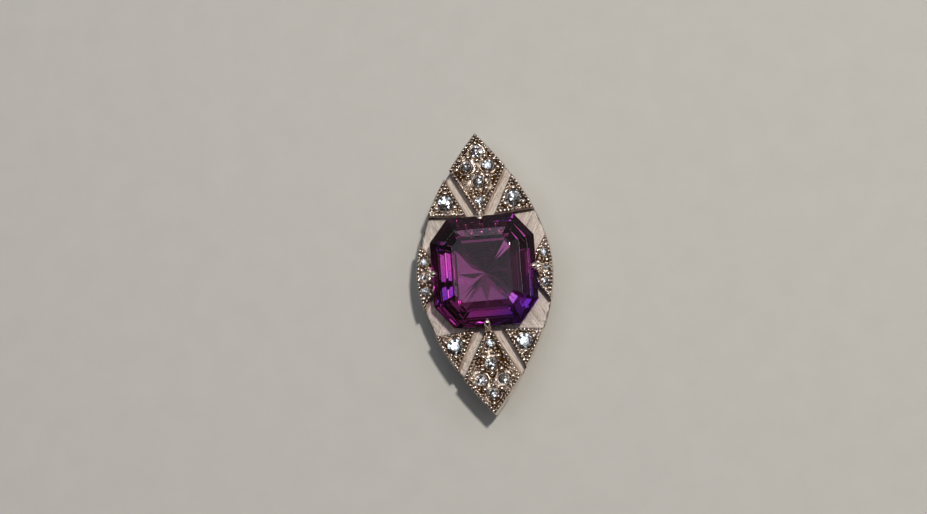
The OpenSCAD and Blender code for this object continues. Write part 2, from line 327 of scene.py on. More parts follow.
def dress(piece, material, replaced, body, sharp):
    """Shades a piece, flat where sharp is None, gives it its material, and ties it to its body."""
    if sharp is None:
        piece.data.shade_flat()
    else:
        piece.data.shade_smooth()
        piece.data.set_sharp_from_angle(angle=math.radians(sharp))
    piece.data.materials.clear()
    piece.data.materials.append(material)
    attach(piece, body)
    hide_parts(*replaced)
    return piece


def band(lower, upper, count):
    """Quads between two rings of count vertices, whose first vertices are lower and upper."""
    return [[lower + i, lower + (i + 1) % count, upper + (i + 1) % count, upper + i] for i in range(count)]


def lofted(rings):
    """A closed solid through rings of equally many points: its vertices and faces."""
    n, last = len(rings[0]), (len(rings) - 1) * len(rings[0])
    faces = [quad for start in range(0, last, n) for quad in band(start, start + n, n)]
    faces += [list(reversed(range(n))), list(range(last, last + n))]
    return np.concatenate(rings), faces


def hoop(outline_at, profile):
    """A closed ring through profile's (inset, z) points. Its outline at an inset is outline_at(inset)."""
    rings = [at_height(outline_at(d), z) for d, z in profile]
    n, count = len(rings[0]), len(rings)
    faces = [quad for k in range(count) for quad in band(k * n, (k + 1) % count * n, n)]
    return np.concatenate(rings), faces


def at_height(points, z):
    return np.column_stack([points, np.full(len(points), z)])


def search_tree(points):
    tree = KDTree(len(points))
    for i, p in enumerate(points):
        tree.insert((p[0], p[1], 0), i)
    tree.balance()
    return tree


def nearest(tree, p):
    """The distance from p to the nearest of the tree's points."""
    return tree.find((p[0], p[1], 0))[2]


def triangulated(loops, extra):
    """Points and triangles of the region inside loops[0] and outside the others, through extra points."""
    points = np.concatenate(loops + ([extra] if len(extra) else []))
    edges, start = [], 0
    for loop in loops:
        n = len(loop)
        edges += [(start + i, start + (i + 1) % n) for i in range(n)]
        start += n
    keep_all, merge_within = 0, 1e-6
    made = delaunay_2d_cdt([Vector(p) for p in points], edges, [], keep_all, merge_within, False)
    flat = np.array([tuple(p) for p in made[0]])
    triangles = np.array(made[2])
    middle = flat[triangles].mean(1)
    keep = inside(middle, loops[0])
    for hole in loops[1:]:
        keep &= ~inside(middle, hole)
    return flat, triangles[keep]


def thinned(points, taken, gap):
    """The points that keep gap from those taken and from each other, in their own order."""
    tree = search_tree(taken)
    clear = [p for p in points if nearest(tree, p) > gap]
    around = [(i, j) for i in (-1, 0, 1) for j in (-1, 0, 1)]
    cells, kept = {}, []
    for p in clear:
        column, row = int(p[0] // gap), int(p[1] // gap)
        near = [q for i, j in around for q in cells.get((column + i, row + j), [])]
        if all((p[0] - q[0]) ** 2 + (p[1] - q[1]) ** 2 > gap * gap for q in near):
            cells.setdefault((column, row), []).append(p)
            kept.append(p)
    return np.array(kept).reshape(-1, 2)


def grid_points(polygon, pitch):
    """An even triangular grid, half a pitch clear of the polygon's sides."""
    row_share = 0.866
    low, high = polygon.min(0), polygon.max(0)
    points = []
    for k, y in enumerate(np.arange(low[1], high[1], pitch * row_share)):
        points += [(x, y) for x in np.arange(low[0] + k % 2 * pitch / 2, high[0], pitch)]
    points = np.array(points)
    return points[edge_distance(points, polygon) > pitch * 0.5]


def relief_slab(outline, holes, seeds, height, back, pitch=0.15):
    """A slab whose top follows height(points) and whose back is flat, as vertices and faces.

    Not quite closed: where the outline runs straight, the triangulation also leaves slivers in the wall's
    plane, on a few points in line, with an open edge each. Nothing removes them.
    """
    gap, grid_share, skirt = 0.035, 0.6, 0.04
    loops = [outline] + holes
    border = np.concatenate(loops)
    seeds = seeds[edge_distance(seeds, outline) > gap]
    for hole in holes:
        seeds = seeds[~inside(seeds, hole)]
    seeds = thinned(seeds, border, gap)
    grid = thinned(grid_points(outline, pitch), np.concatenate([border, seeds]), pitch * grid_share)
    for hole in holes:
        grid = grid[~inside(grid, hole)]
    top, triangles = triangulated(loops, np.concatenate([seeds, grid]))
    under, under_triangles = triangulated(loops, np.zeros((0, 2)))
    high, rim = height(top), len(border)
    vertices = np.concatenate([
        np.column_stack([top, high]),
        at_height(under, back),
        np.column_stack([top[:rim], high[:rim] - skirt]),
    ])
    under_start, skirt_start = len(top), len(top) + len(under)
    faces = triangles.tolist() + (under_triangles[:, ::-1] + under_start).tolist()
    start = 0
    for loop in loops:
        m = len(loop)
        for i in range(m):
            a, b = start + i, start + (i + 1) % m
            faces.append([a, a + skirt_start, b + skirt_start, b])
            faces.append([a + skirt_start, a + under_start, b + under_start, b + skirt_start])
        start += m
    return vertices, faces


# ---------------------------------------------------------------- materials
class Looks:
    """A new material and the nodes that make its look. Texture scales are features in a metre."""

    def __init__(self, name):
        self.material = bpy.data.materials.new(name)
        self.material.use_nodes = True
        self.nodes = self.material.node_tree.nodes
        self.links = self.material.node_tree.links
        self.shader = next(n for n in self.nodes if n.type == "BSDF_PRINCIPLED")
        self.output = next(n for n in self.nodes if n.type == "OUTPUT_MATERIAL")
        self.where = self.node("ShaderNodeTexCoord", "Object")

    def fill(self, socket, value):
        """Links a node's output to the socket, or sets the number, vector or colour there."""
        if isinstance(value, bpy.types.NodeSocket):
            self.links.new(value, socket)
        elif socket.type == "RGBA":
            socket.default_value = (*value, 1)
        else:
            socket.default_value = value

    def node(self, kind, result, inputs=None, **settings):
        """Adds a node, fills its inputs, given by name or number, and gives its output called result."""
        node = self.nodes.new(kind)
        for name, value in settings.items():
            setattr(node, name, value)
        for name, value in (inputs or {}).items():
            self.fill(node.inputs[name], value)
        return node.outputs[result]

    def set(self, name, value):
        self.fill(self.shader.inputs[name], value)

    def attribute(self, name):
        return self.node("ShaderNodeAttribute", "Fac", attribute_name=name)

    def axes(self):
        """The x, y and z of a point on the piece."""
        node = self.nodes.new("ShaderNodeSeparateXYZ")
        self.links.new(self.where, node.inputs[0])
        return node.outputs[0], node.outputs[1], node.outputs[2]

    def stretched(self, scale):
        return self.node("ShaderNodeMapping", "Vector", {"Vector": self.where, "Scale": scale})

    def noise(self, scale, detail=4.0, rough=0.6, where=None):
        place = self.where if where is None else where
        inputs = {"Vector": place, "Scale": scale, "Detail": detail, "Roughness": rough}
        return self.node("ShaderNodeTexNoise", "Fac", inputs)

    def calculated(self, operation, *values):
        return self.node("ShaderNodeMath", 0, dict(enumerate(values)), operation=operation)

    def ranged(self, value, low, high, start=0.0, end=1.0):
        """Spreads value's stretch from start to end over low to high."""
        inputs = {"Value": value, "From Min": start, "From Max": end, "To Min": low, "To Max": high}
        return self.node("ShaderNodeMapRange", "Result", inputs)

    def mixed(self, share, first, second):
        """A colour that goes from first to second as share goes from 0 to 1."""
        return self.node("ShaderNodeMix", 2, {"Factor": share, 6: first, 7: second}, data_type="RGBA")

    def bump(self, height, distance, strength=1.0, normal=None):
        inputs = {"Height": height, "Distance": distance, "Strength": strength}
        if normal is not None:
            inputs["Normal"] = normal
        return self.node("ShaderNodeBump", "Normal", inputs)


CLEAN = (0.90, 0.79, 0.695)
# Brown of tarnish in the hollows, which also serves as painted shade there.
TARNISH_SHADE_BROWN = (0.068, 0.031, 0.009)
MICRON = 1e-6


def worn_metal(name, polish, tarnish_shade_share, dents=0.0):
    """White metal: bright where it is rubbed, brown and duller in its hollows from tarnish and painted
    shade, with fine scratches.
    """
    looks = Looks(name)
    tarnished = 0.42
    uneven = looks.ranged(looks.noise(scale=700, detail=3), 0.55, 1.25, start=0.35, end=0.65)
    # The depth attribute, broken up by noise, sets how much tarnish and painted shade each point takes.
    tarnish_shade = looks.calculated("MULTIPLY", looks.attribute("depth"), uneven)
    tarnish_shade = looks.calculated("MULTIPLY", tarnish_shade, tarnish_shade_share)
    tarnish_shade = looks.node("ShaderNodeClamp", 0, {"Value": tarnish_shade})
    looks.set("Base Color", looks.mixed(tarnish_shade, CLEAN, TARNISH_SHADE_BROWN))
    looks.set("Metallic", 1.0)
    dulled = looks.ranged(tarnish_shade, polish, tarnished)
    grain = looks.ranged(looks.noise(scale=5200, detail=6), -0.03, 0.05, start=0.3, end=0.7)
    looks.set("Roughness", looks.calculated("ADD", dulled, grain))
    scratches = looks.noise(scale=16000, detail=3, where=looks.stretched((1, 0.12, 1)))
    normal = looks.bump(scratches, 4 * MICRON, strength=0.5)
    if dents:
        normal = looks.bump(looks.noise(scale=2600, detail=2), dents, 0.8, normal)
        punches = looks.node("ShaderNodeTexVoronoi", "Distance", {"Vector": looks.where, "Scale": 9000})
        normal = looks.bump(looks.calculated("MULTIPLY", punches, tarnish_shade), 50 * MICRON, 1.0, normal)
    looks.set("Normal", normal)
    return looks.material


def brushed_metal(name):
    """Satin floors brushed lengthwise along the four channels, which mirror one another."""
    looks = Looks(name)
    along_share, upright_share = 0.05, 0.3
    dark, light = (0.18, 0.145, 0.12), (0.64, 0.58, 0.54)
    x, y, z = looks.axes()
    x, y = looks.calculated("ABSOLUTE", x), looks.calculated("ABSOLUTE", y)
    lean = math.atan2(KITE_SHOULDER[0] - KITE_END[0], KITE_SHOULDER[1] - KITE_END[1])
    along = looks.calculated(
        "ADD",
        looks.calculated("MULTIPLY", x, math.sin(lean)),
        looks.calculated("MULTIPLY", y, math.cos(lean)),
    )
    across = looks.calculated(
        "SUBTRACT",
        looks.calculated("MULTIPLY", x, math.cos(lean)),
        looks.calculated("MULTIPLY", y, math.sin(lean)),
    )
    drawn = looks.node("ShaderNodeCombineXYZ", 0, {
        0: looks.calculated("MULTIPLY", along, along_share),
        1: across,
        2: looks.calculated("MULTIPLY", z, upright_share),
    })
    lines = looks.noise(scale=7000, detail=5, rough=0.7, where=drawn)
    tone = looks.mixed(looks.ranged(lines, 0, 1, start=0.3, end=0.7), dark, light)
    patches = looks.ranged(looks.noise(scale=500, detail=3), 0.4, 1.1, start=0.35, end=0.65)
    # Tarnish and painted shade, toward the same brown, where the depth attribute is high.
    tarnish_shade = looks.calculated("MULTIPLY", looks.attribute("depth"), patches)
    looks.set("Base Color", looks.mixed(tarnish_shade, tone, TARNISH_SHADE_BROWN))
    looks.set("Metallic", 1.0)
    looks.set("Roughness", looks.ranged(lines, 0.45, 0.62, start=0.3, end=0.7))
    normal = looks.bump(lines, 50 * MICRON)
    pits = looks.noise(scale=2300, detail=4, rough=0.7)
    looks.set("Normal", looks.bump(pits, 100 * MICRON, 0.8, normal))
    return looks.material


def clear_stone(name, ior, shadow_tint, absorb=None, density=0.0, haze=0.0, tint=(1, 1, 1), clarity=1.0):
    """A polished stone that bends light, and lets lamps through to what it is set in."""
    looks = Looks(name)
    looks.set("Transmission Weight", clarity)
    looks.set("IOR", ior)
    looks.set("Base Color", tint)
    rough = 0.0
    if haze:
        rough = looks.ranged(looks.noise(scale=900), 0.0, haze, start=0.45, end=0.75)
    looks.set("Roughness", rough)
    shadow = looks.node("ShaderNodeLightPath", "Is Shadow Ray")
    through = looks.node("ShaderNodeBsdfTransparent", 0, {"Color": shadow_tint})
    surface = looks.node("ShaderNodeMixShader", 0, {0: shadow, 1: looks.shader.outputs[0], 2: through})
    looks.fill(looks.output.inputs["Surface"], surface)
    if absorb:
        volume = looks.node("ShaderNodeVolumeAbsorption", 0, {"Color": absorb, "Density": density})
        looks.fill(looks.output.inputs["Volume"], volume)
    return looks.material


def mirrored_back(name):
    """The centre stone's underside. It throws light back up as a deeper cut would, with a painted blue flash
    at one corner.
    """
    looks = Looks(name)
    pink, pale, flash_blue = (0.70, 0.48, 0.62), (0.80, 0.60, 0.71), (0.30, 0.30, 0.92)
    x, y, _ = looks.axes()
    # Painted blue flash, growing towards the lower right corner.
    corner = looks.ranged(looks.calculated("SUBTRACT", x, y), 0.0, 1.0, start=3.5 * MM, end=7 * MM)
    rose = looks.mixed(looks.noise(scale=350, detail=3), pink, pale)
    looks.set("Base Color", looks.mixed(corner, rose, flash_blue))
    looks.set("Metallic", 1.0)
    looks.set("Roughness", 0.0)
    return looks.material


def floor_material():
    looks = Looks("floor")
    darker, paler = (0.515, 0.508, 0.482), (0.565, 0.557, 0.53)
    looks.set("Base Color", looks.mixed(looks.noise(scale=300, detail=5), darker, paler))
    looks.set("Roughness", 0.8)
    return looks.material


BRIGHT = worn_metal("bright_metal", polish=0.18, tarnish_shade_share=1.15, dents=20 * MICRON)
CLAW_METAL = worn_metal("claw_metal", polish=0.15, tarnish_shade_share=0.6)
BACK_METAL = worn_metal("back_metal", polish=0.2, tarnish_shade_share=0.6, dents=10 * MICRON)
PIN_METAL = worn_metal("pin_metal", polish=0.16, tarnish_shade_share=0.4)
SATIN = brushed_metal("satin_metal")
AMETHYST = clear_stone("amethyst", ior=1.55, shadow_tint=(0.80, 0.55, 0.85), absorb=(0.72, 0.22, 0.70),
                       density=150, tint=(0.74, 0.50, 0.65), clarity=0.985)
AMETHYST_BACK = mirrored_back("amethyst_back")
DIAMOND = clear_stone("diamond", ior=2.42, shadow_tint=(0.9, 0.93, 1.0), haze=0.12)


# ---------------------------------------------------------------- small stones
def small_stones():
    """Centre, radius and girdle height of each small stone by node name. The CAD's have eight sides."""
    found = {}
    for node in sorted(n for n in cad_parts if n.startswith("diamond_")):
        low, high = mm_box(node)
        radius = (high[0] - low[0]) / 2 / math.cos(math.pi / CUT_SIDES)
        found[node] = ((low + high)[:2] / 2, radius, low[2] + GIRDLE_HEIGHT * radius)
    return found


STONES = small_stones()


def single_cut(radius):
    """A round stone drawn about its girdle: its vertices and faces."""
    n, rim_n = CUT_SIDES, 2 * CUT_SIDES
    half_turn = math.pi / n
    rim = circle((0, 0), radius, rim_n)
    lean = np.where(np.arange(rim_n) % 2 == 1, 1.0, math.cos(half_turn)) * radius
    flat = CUT_TABLE * radius * math.cos(half_turn)
    top = CUT_GIRDLE * radius + (radius - flat) * math.tan(CROWN_SLOPE)
    low = -radius * math.tan(PAVILION_SLOPE)
    upper = np.column_stack([rim, top - (lean - flat) * math.tan(CROWN_SLOPE)])
    lower = np.column_stack([rim, low + lean * math.tan(PAVILION_SLOPE)])
    face = at_height(circle((0, 0), CUT_TABLE * radius, n), top)
    vertices = np.concatenate([lower, upper, face, [[0, 0, low]]])
    table, culet = 2 * rim_n, 2 * rim_n + n
    faces = [[table + i for i in range(n)]]
    for i in range(n):
        a, b, c = 2 * i, 2 * i + 1, (2 * i + 2) % rim_n
        faces.append([rim_n + a, rim_n + b, rim_n + c, table + (i + 1) % n, table + i])
        faces.append([a, culet, c, b])
    return vertices, faces + band(0, rim_n, rim_n)


def add_small_stones():
    rng = np.random.default_rng(seed=7)
    for node, (centre, radius, z) in STONES.items():
        vertices, faces = single_cut(radius)
        turn, tilt_x, tilt_y = rng.uniform(0, math.pi), rng.normal(*TILT_X), rng.normal(*TILT_Y)
        tilt = Matrix.Rotation(tilt_x, 3, "X") @ Matrix.Rotation(tilt_y, 3, "Y")
        spin = tilt @ Matrix.Rotation(turn, 3, "Z")
        placed = vertices @ np.array(spin).T + [centre[0], centre[1], z]
        new_piece("stone_" + node[-2:], placed, faces, DIAMOND, [node], sharp=None)


# ---------------------------------------------------------------- panels
def stones_in(outline):
    return [s for s in STONES.values() if edge_distance(np.array([s[0]]), outline)[0] > 0]


def lip_drop(distance):
    """How far a rounded edge brings a top down, at a distance in from the edge."""
    lip = np.clip(FILLET - distance, 0, FILLET)
    return FILLET - np.sqrt(np.clip(FILLET ** 2 - lip ** 2, 0, None))


def bare_relief(p, distance):
    """A panel's raised border, its sloping inner wall, and its faintly wavy floor."""
    rise = np.clip((BORDER_W + WALL_SLOPE - distance) / WALL_SLOPE, 0, 1)
    z = FLOOR_Z + (PANEL_TOP - BORDER_DROP - FLOOR_Z) * rise
    waves = [np.sin(p[:, 0] * a + p[:, 1] * b) for a, b in WAVES]
    return z + WAVE_H * (waves[0] * waves[1]) * (1 - rise)


def with_seat(z, p, centre, r):
    """z with a stone's bowl sunk in it and low prongs round that, turned differently at each stone."""
    rho = np.linalg.norm(p - centre, axis=1) / r
    ridge = np.clip(1 - np.abs(rho - RIDGE_R) / RIDGE_HALF_W, 0, 1)
    angle = np.arctan2(p[:, 1] - centre[1], p[:, 0] - centre[0])
    wave = PRONG_MIDDLE + PRONG_RISE * np.cos(PRONGS * angle + centre[0] * 3 + centre[1])
    z = np.maximum(z, FLOOR_Z + RIDGE_H * wave * np.sqrt(ridge))
    bowl = FLOOR_Z + SEAT_LIP - (SEAT_R - rho) * SEAT_SLOPE * r
    return np.where(rho < SEAT_R, np.minimum(z, bowl), z)


def with_bead(z, p, x, y, r):
    rho = np.linalg.norm(p - (x, y), axis=1) / r
    dome = FLOOR_Z + BEAD_LIFT + r * np.sqrt(np.clip(1 - rho ** 2, 0, 1))
    return np.where(rho < 1, np.maximum(z, dome), z)


def with_milling(z, p, tree):
    near = np.array([nearest(tree, q) for q in p])
    dome = PANEL_TOP - MILL_R + np.sqrt(np.clip(MILL_R ** 2 - near ** 2, 0, None))
    return np.where(near < MILL_R, np.maximum(z, dome), z)


def panel_relief(outline, stones, beads, mill):
    """The height function of a panel's top."""
    tree = search_tree(mill)

    def height(p):
        distance = edge_distance(p, outline)
        z = bare_relief(p, distance)
        for centre, r, _ in stones:
            z = with_seat(z, p, centre, r)
        for x, y, r in beads:
            z = with_bead(z, p, x, y, r)
        return with_milling(z, p, tree) - lip_drop(distance)

    return height


def hollow(points, height):
    """0 on the tops that get rubbed, 1 in the hollows and near the floor's level, which take tarnish and
    painted shade, from the relief round each point.
    """
    reach, relief, level_share, darkening_ends_above = 0.09, 0.045, 0.62, 0.1
    own = height(points)
    around = np.mean([height(points + step) for step in circle((0, 0), reach, count=8)], axis=0)
    return np.clip(level_share - (own - around) / relief + (FLOOR_Z + darkening_ends_above - own), 0, 1)


def rings_round(centre, r, shares, turn=0.0):
    return [circle(centre, r * share, count, turn) for share, count in shares]


def feature_points(outline, stones, beads, mill):
    """Rings of points round every bead, stone and edge, so that creases fall on mesh edges."""
    out = [inset(outline, d) for d in (FILLET / 2, FILLET)]
    out += [resample(inset(outline, d), spacing=0.12) for d in (BORDER_W, BORDER_W + WALL_SLOPE)]
    for m in mill:
        out += rings_round(m, MILL_R, MILL_RINGS, turn=0.3) + [np.array([m])]
    for x, y, r in beads:
        shares = BEAD_RINGS if r > SMALL_BEAD_R else SMALL_BEAD_RINGS
        out += rings_round((x, y), r, shares) + [np.array([(x, y)])]
    for centre, r, _ in stones:
        out += rings_round(centre, r, SEAT_RINGS)
    return np.concatenate(out)


def uneven_beads(beads, sx, sy, rng):
    """A panel's beads on its own side of the brooch, each a little off its place and size."""
    return [
        (
            x * sx + rng.normal(0, BEAD_WANDER),
            y * sy + rng.normal(0, BEAD_WANDER),
            r * BEAD_SWELL * rng.uniform(*BEAD_VARIES),
        )
        for x, y, r in beads
    ]


def ground_grains(outline, stones, beads, rng):
    """Small seeded grains that fill what is left of a panel's floor between its stones and larger beads."""
    wall_clear = 0.02
    tries = rng.uniform(outline.min(0), outline.max(0), (GRAIN_TRIES, 2))
    tries = tries[edge_distance(tries, outline) > BORDER_W + WALL_SLOPE + wall_clear]
    taken = [(c[0], c[1], r * STONE_ROOM) for c, r, _ in stones] + beads
    kept = []
    for x, y in tries:
        r = rng.uniform(*GRAIN_R)
        if all(math.hypot(x - a, y - b) > r + s * GRAIN_GAP for a, b, s in taken + kept):
            kept.append((x, y, r))
    return kept


def add_panel(name, node, outline, beads, sx, sy):
    """A panel mirrored by signs, with its own seeded unevenness."""
    edge_band, edge_depth = 0.02, 0.12
    rng = np.random.default_rng(len(name) * 31 + sx * 3 + sy)
    shape = turned(outline, sx, sy)
    stones = stones_in(shape)
    grains = uneven_beads(beads, sx, sy, rng)
    grains += ground_grains(shape, stones, grains, rng)
    mill = spaced(inset(shape, MILL_INSET), MILL_PITCH)
    mill = mill + rng.normal(0, MILL_WANDER, mill.shape)
    holes = [circle(centre, PANEL_HOLE * r, count=24) for centre, r, _ in stones]
    height = panel_relief(shape, stones, grains, mill)
    seeds = feature_points(shape, stones, grains, mill)
    vertices, faces = relief_slab(resample(shape, spacing=0.16), holes, seeds, height, PLATE_TOP)
    flat = vertices[:, :2]
    # Rubbed edges stay light; elsewhere tarnish and painted shade follow the hollows.
    depth = np.where(edge_distance(flat, shape) < edge_band, edge_depth, hollow(flat, height))
    new_piece(name, vertices, faces, BRIGHT, [node], sharp=50, depth=depth)


def both_sides(beads):
    return [b for x, y, r in beads for b in ([(x, y, r)] if x == 0 else [(x, y, r), (-x, y, r)])]


def add_panels():
    for end, sy in (("top", 1), ("bottom", -1)):
        add_panel(f"kite_relief_{end}", f"kite_panel_{end}", kite(), both_sides(KITE_BEADS), 1, sy)
        for hand, sx in (("right", 1), ("left", -1)):
            add_panel(f"triangle_relief_{end}_{hand}", f"triangle_panel_{end}_{hand}",
                      triangle(), TRIANGLE_BEADS, sx, sy)
    side_beads = [(x, s * y, r) for x, y, r in SIDE_BEADS for s in (1, -1)]
    for hand, sx in (("right", 1), ("left", -1)):
        add_panel(f"side_relief_{hand}", f"side_panel_{hand}", side(), side_beads, sx, 1)


# ---------------------------------------------------------------- plate, frame and collet
def plate_holes():
    """The plate's openings: for the centre stone, behind the small stones, and for the claws' posts."""
    x, y = STONE_HIGH[0] + CLAW_OUT, STONE_HIGH[1] + CLAW_OUT
    holes = [resample(inset(octagon(), COLLET_IN - CLAW_PLAY), spacing=0.4)]
    holes += [circle(centre, PLATE_HOLE * r, count=20) for centre, r, _ in STONES.values()]
    posts = ((0, y), (0, -y), (x, 0), (-x, 0))
    return holes + [circle(place, CLAW_R + CLAW_PLAY, count=20) for place in posts]


def panel_outlines():
    outlines = [turned(kite(), 1, s) for s in (1, -1)]
    outlines += [turned(triangle(), sx, sy) for sx in (1, -1) for sy in (1, -1)]
    return outlines + [turned(side(), s, 1) for s in (1, -1)]


def add_plate():
    """The pierced plate: a satin top, darkened beside the panels' walls by painted shade with tarnish, and a
    rounded, polished rim.
    """
    wall_shade, deepest, rim_band, rim_depth = 0.16, 0.9, 0.05, 0.1
    outline = resample(navette(), spacing=0.3)

    def height(p):
        return PLATE_TOP - lip_drop(edge_distance(p, outline))

    seeds = np.concatenate([inset(outline, FILLET / 2), inset(outline, FILLET)])
    vertices, faces = relief_slab(outline, plate_holes(), seeds, height, PLATE_BACK, pitch=0.22)
    flat = vertices[:, :2]
    # Painted shade, with tarnish, beside the panels' walls, fading out over wall_shade.
    near_wall = np.max([edge_distance(flat, p) for p in panel_outlines()], axis=0)
    depth = np.clip(1 + near_wall / wall_shade, 0, 1) * deepest
    depth = np.where(edge_distance(flat, outline) < rim_band, rim_depth, depth)
    plate = new_piece("plate", vertices, faces, SATIN, ["base_plate"], sharp=50, depth=depth)
    polish_rim(plate, outline, rim_band)


def polish_rim(plate, outline, rim_band):
    """Gives the plate's upright outer faces the polished metal."""
    steep = 0.7
    plate.data.materials.append(BACK_METAL)
    centres = np.array([face.center[:2] for face in plate.data.polygons]) / MM
    upright = np.array([abs(face.normal.z) < steep for face in plate.data.polygons])
    polished = upright & (edge_distance(centres, outline) < rim_band)
    plate.data.polygons.foreach_set("material_index", polished.astype(np.int32))


def add_frame():
    """The ring behind the plate, with rounded edges."""
    inner, low, high = FRAME_IN + FRAME_WALL, FRAME_BACK, PLATE_BACK
    profile = [
        (FRAME_IN, high), (FRAME_IN, low + FRAME_ROUND), (FRAME_IN + FRAME_BEND, low + FRAME_BEND),
        (FRAME_IN + FRAME_ROUND, low), (inner - FRAME_ROUND, low),
        (inner - FRAME_BEND, low + FRAME_BEND), (inner, low + FRAME_ROUND), (inner, high),
    ]
    vertices, faces = hoop(smooth_navette, profile)
    new_piece("rear_frame", vertices, faces, BACK_METAL, ["back_frame"], sharp=40,
              depth=np.full(len(vertices), FRAME_GRIME))


def pavilion_z(d):
    """Height of the centre stone's underside where it is set in by d."""
    insets, drops = zip(*PAVILION_STEPS)
    return GIRDLE_BACK + float(np.interp(d, insets, drops))


def add_collet():
    """The collar under the centre stone, with a milled groove round its wall."""
    rim, bend, lip = [(d, pavilion_z(d) - COLLET_GAP) for d in (COLLET_IN, COLLET_BEND, COLLET_OPEN)]
    profile = [
        (COLLET_IN, COLLET_BACK), (COLLET_IN, GROOVE_Z - GROOVE_HALF), (COLLET_IN + GROOVE_DEEP, GROOVE_Z),
        (COLLET_IN, GROOVE_Z + GROOVE_HALF), rim, bend, lip,
        (COLLET_OPEN, COLLET_BACK + COLLET_CHAMFER), (COLLET_OPEN - COLLET_CHAMFER, COLLET_BACK),
    ]
    vertices, faces = hoop(lambda d: inset(octagon(), d), profile)
    new_piece("stone_collar", vertices, faces, BACK_METAL, ["amethyst_collet"], sharp=20,
              depth=np.full(len(vertices), COLLET_GRIME))


# ---------------------------------------------------------------- centre stone
def step_rings(grow=0.0):
    """The outlines of the centre stone's steps and their heights, lowest first, grown outwards."""
    body = octagon()
    steps = [(inset(body, d - grow), GIRDLE_BACK + h) for d, h in reversed(PAVILION_STEPS)]
    return steps + [(inset(body, d - grow), GIRDLE_TOP + h + (grow if h else 0)) for d, h in CROWN_STEPS]


def split(points):
    """A polygon with a corner added in the middle of each side."""
    return np.array([q for pair in zip(points, halfway(points)) for q in pair])


def add_amethyst():
    """A cut-corner step cut: three crown steps and two pavilion steps, then narrow facets to the culet."""
    steps = [(split(outline), z) for outline, z in step_rings()]
    deep, deep_z = steps[0]
    n, count = len(deep), len(steps)
    inner = np.array(halfway(deep)) * CULET_RING
    inner_z = STONE_LOW[2] + (deep_z - STONE_LOW[2]) * CULET_RISE
    vertices = [at_height(outline, z) for outline, z in steps]
    vertices += [at_height(inner, inner_z), np.array([[0, 0, STONE_LOW[2]]])]
    faces = []
    for start in range(0, (count - 1) * n, n):
        for i in range(0, n, 2):
            a, b, c = start + i, start + i + 1, start + (i + 2) % n
            faces.append([a, b, c, c + n, b + n, a + n])
    faces.append([(count - 1) * n + i for i in range(n)])
    ring, culet = count * n, (count + 1) * n
    for i in range(n):
        faces.append([i, ring + i, (i + 1) % n])
        faces.append([i, ring + (i - 1) % n, culet, ring + i])
    vertices = np.concatenate(vertices)
    stone = new_piece("centre_stone", vertices, faces, AMETHYST, ["amethyst"], sharp=None)
    stone.data.materials.append(AMETHYST_BACK)
    clear_of_wall = 0.01
    under_girdle = (GIRDLE_BACK - clear_of_wall) * MM
    for face in stone.data.polygons:
        face.material_index = int(face.center.z < under_girdle)
    soften = stone.modifiers.new("facet_edges", "BEVEL")
    soften.width = FACET_EDGE * MM
    soften.segments = 1
    soften.limit_method = "ANGLE"
    soften.angle_limit = FACET_ANGLE


# ---------------------------------------------------------------- claws
def tube(a, b, ra, rb):
    """A closed tapered rod with rounded ends, as vertices and faces."""
    count, end_angles = 16, (0.4, 0.8, 1.25)
    a, b = Vector(a), Vector(b)
    turn = (b - a).to_track_quat("Z", "Y").to_matrix()
    length = (b - a).length
    rows = [(-ra * math.sin(t), ra * math.cos(t)) for t in reversed(end_angles)] + [(0, ra), (length, rb)]
    rows += [(length + rb * math.sin(t), rb * math.cos(t)) for t in end_angles]
    return lofted([
        np.array([tuple(a + turn @ Vector((x, y, z))) for x, y in circle((0, 0), r, count)])
        for z, r in rows
    ])


def blended(name, rods, material, replaced, cut):
    """Rods melted into one smooth solid, less whatever cut fills."""
    vertices, faces = [], []
    for rod in rods:
        points, sides = tube(*rod)
        faces += [[i + len(vertices) for i in face] for face in sides]
        vertices += points.tolist()
    mesh = bpy.data.meshes.new(name)
    mesh.from_pydata((np.array(vertices) * MM).tolist(), [], faces)
    piece = linked(name, mesh)
    melt = piece.modifiers.new("melt", "REMESH")
    melt.mode = "VOXEL"
    melt.voxel_size = CLAW_VOXEL * MM
    smooth = piece.modifiers.new("smooth", "SMOOTH")
    smooth.factor = 0.6
    smooth.iterations = 5
    fit = piece.modifiers.new("fit", "BOOLEAN")
    fit.operation = "DIFFERENCE"
    fit.solver = "MANIFOLD"
    fit.object = cut
    made = bpy.data.meshes.new_from_object(piece.evaluated_get(bpy.context.evaluated_depsgraph_get()))
    piece.modifiers.clear()
    piece.data = made
    dress(piece, material, replaced, "brooch", sharp=40)


def stone_cutter():
    """The centre stone's shape, a little larger, to cut the claws' notches with."""
    vertices, faces = lofted([at_height(outline, z) for outline, z in step_rings(CUTTER_GROWTH)])
    mesh = bpy.data.meshes.new("cutter")
    mesh.from_pydata((vertices * MM).tolist(), [], faces)
    return linked("cutter", mesh)


def claw_place(quarter):
    """A function that takes a point beside the stone's upper side to the side so many quarter turns on."""
    reach = STONE_HIGH[1] if quarter % 2 == 0 else STONE_HIGH[0]
    turn = Matrix.Rotation(math.pi / 2 * quarter, 3, "Z")
    return lambda point: tuple(turn @ Vector((point[0], reach + point[1], point[2])))


def add_claws():
    cutter = stone_cutter()
    for quarter, (end, heads) in enumerate(CLAW_RODS.items()):
        place = claw_place(quarter)
        rods = [(place(a), place(b), ra, rb) for a, b, ra, rb in [POST] + heads]
        blended(f"claw_bead_{end}", rods, CLAW_METAL, [f"claw_{end}"], cutter)
    bpy.data.objects.remove(cutter)


